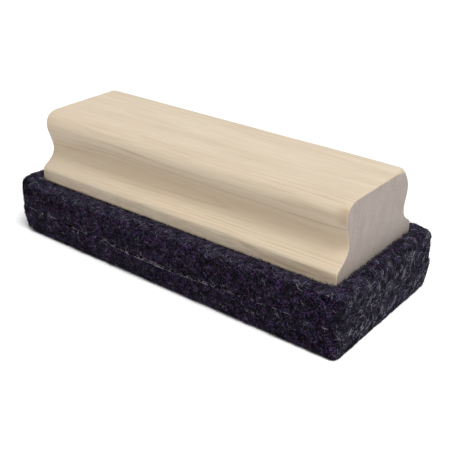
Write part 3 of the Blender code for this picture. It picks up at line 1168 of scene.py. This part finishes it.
def make_wood_line_hairs(tree):
    """Hairs at the top of the felt that lean on the sides of the wood."""
    rng = np.random.default_rng(41)
    _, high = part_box("wooden_handle")
    count = WOOD_LINE_COUNT
    half_x, half_y = high.x + 0.10 * MM, high.y + 0.10 * MM
    along = rng.uniform(0, 4 * (half_x + half_y), count)
    places, outs = zip(*(perimeter_point(a, half_x, half_y) for a in along))
    places, outs = np.array(places), np.array(outs)
    tangents = np.stack([-outs[:, 1], outs[:, 0], outs[:, 2]], axis=1)
    lean = rng.normal(0, 1.4 * MM, count)
    rise = rng.uniform(0.0, WOOD_LINE_RISE, count) * rng.random(count)
    foot = np.array([felt_top(tree, p, o) for p, o in zip(places, outs)])
    centres = np.empty((count, HAIR_RINGS, 3))
    for k, step in enumerate(np.linspace(0, 1, HAIR_RINGS)):
        away = (0.40 * (1 - step)**2 + 0.03) * MM
        centres[:, k] = places + outs * away + tangents * (lean * step)[:, None]
        centres[:, k, 2] = foot + step**0.7 * rise - WOOD_LINE_ROOT * (1 - step)
    ups = np.repeat(outs[:, None, :], HAIR_RINGS, axis=1)
    widths = rng.uniform(0.05 * MM, 0.12 * MM, count)
    build_tubes("wool_hairs_wood_line", centres, ups, widths, rng.random(count)**1.3)


def perimeter_point(along, half_x, half_y):
    """A point that far round a rectangle, and the way out of it there."""
    for length, start, step, out in (
        (2 * half_x, (-half_x, -half_y), (1, 0), (0, -1)),
        (2 * half_y, (half_x, -half_y), (0, 1), (1, 0)),
        (2 * half_x, (half_x, half_y), (-1, 0), (0, 1)),
        (2 * half_y, (-half_x, half_y), (0, -1), (-1, 0)),
    ):
        if along <= length:
            return (start[0] + step[0] * along, start[1] + step[1] * along, 0.0), (*out, 0.0)
        along -= length
    return (-half_x, -half_y, 0.0), (0.0, -1.0, 0.0)


def felt_top(tree, place, out):
    """The felt's height just outside a point of the wood's outline."""
    above = Vector(place) + Vector(out) * 0.5 * MM + Vector((0, 0, 40 * MM))
    hit = tree.ray_cast(above, Vector((0, 0, -1)))[0]
    return hit.z if hit else CAD_LOW.z + 20 * MM


# ---- glue

def glue_material():
    material, tree, shader = start_material("dried_adhesive")
    place = place_in_mm(tree)
    drops = grains(tree, place, (1.6, 1.6, 1.6), detail=3.0)
    skin = grains(tree, place, (0.3, 0.3, 0.3), detail=2.0)
    colour = ramp(tree, drops, (0.3, (0.40, 0.35, 0.27)), (0.7, (0.62, 0.57, 0.47)))
    rough = limits(tree, skin, 0.3, 0.7, 0.35, 0.6)
    finish_material(tree, shader, colour, rough, skin, 0.04 * MM)
    return material


BEAD_RINGS = 12
SEAM_SIDES = {  # side: (beads, seam's half length, density's centre and spread)
    "front": (74, 66 * MM, -8 * MM, 26 * MM),
    "back": (34, 66 * MM, 12 * MM, 40 * MM),
    "right": (7, 26 * MM, -4 * MM, 16 * MM),
    "left": (7, 26 * MM, 4 * MM, 16 * MM),
}
LINT_SHADES = (
    (0.36, (0.050, 0.043, 0.060)), (0.50, (0.220, 0.200, 0.240)), (0.64, (0.40, 0.375, 0.42)),
)


def seam_glue_material():
    """Glue that has run out of the seam and caught lint."""
    material, tree, shader = start_material("lint_covered_glue")
    place = place_in_mm(tree)
    lint = grains(tree, place, (0.5, 0.5, 0.5), detail=3.0, roughness=0.7)
    colour = ramp(tree, lint, *LINT_SHADES)
    finish_material(tree, shader, colour, limits(tree, lint, 0.3, 0.7, 0.6, 0.9), lint, 0.05 * MM)
    shader.inputs["Specular IOR Level"].default_value = 0.3
    return material


def make_seam_glue(tree):
    """Thin broken beads of glue along the seam between the two layers."""
    rng = np.random.default_rng(53)
    seam_low, seam_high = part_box("layer_glue_film")
    level = (seam_low.z + seam_high.z) / 2
    centres, ups, widths = [], [], []
    for side, (count, reach, middle, spread) in SEAM_SIDES.items():
        for _ in range(count):
            start = float(np.clip(rng.normal(middle, spread), -reach, reach - 2 * MM))
            length = rng.uniform(0.8 * MM, 5.0 * MM)
            drift = rng.uniform(0, 100)
            path, out = [], []
            for step in np.linspace(0, 1, BEAD_RINGS):
                point = seam_point(side, min(start + length * step, reach), level)
                wander = noise.noise(Vector((start * 90 + step * 2.2, drift, 0))) * 0.45 * MM
                point.z += seam_wave(point) + wander * (0.3 + 0.7 * abs(2 * step - 1))
                hit, normal, _, _ = tree.find_nearest(point)
                path.append(hit + normal * 0.02 * MM)
                out.append(normal)
            centres.append(path)
            ups.append(out)
            widths.append(rng.uniform(0.08 * MM, 0.24 * MM))
    return build_tubes("seam_glue_beads", np.array(centres), np.array(ups), np.array(widths),
                       rng.random(len(centres)), seam_glue_material())


def seam_point(side, along, level):
    """A point on the pad's outline at the seam."""
    if side in ("front", "back"):
        return Vector((along, -CAD_HIGH.y if side == "front" else CAD_HIGH.y, level))
    return Vector((CAD_HIGH.x if side == "right" else -CAD_HIGH.x, along, level))


def dress_glue_films():
    material = glue_material()
    for name in ("handle_glue_film", "layer_glue_film"):
        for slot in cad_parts[name].material_slots:
            slot.material = material


make_camera()
make_lights()
make_floor()
make_handle()
felt = make_felt()
felt_surface = felt_tree(felt)
make_all_hairs(felt, felt_surface)
make_wood_line_hairs(felt_surface)
make_seam_glue(felt_surface)
dress_glue_films()
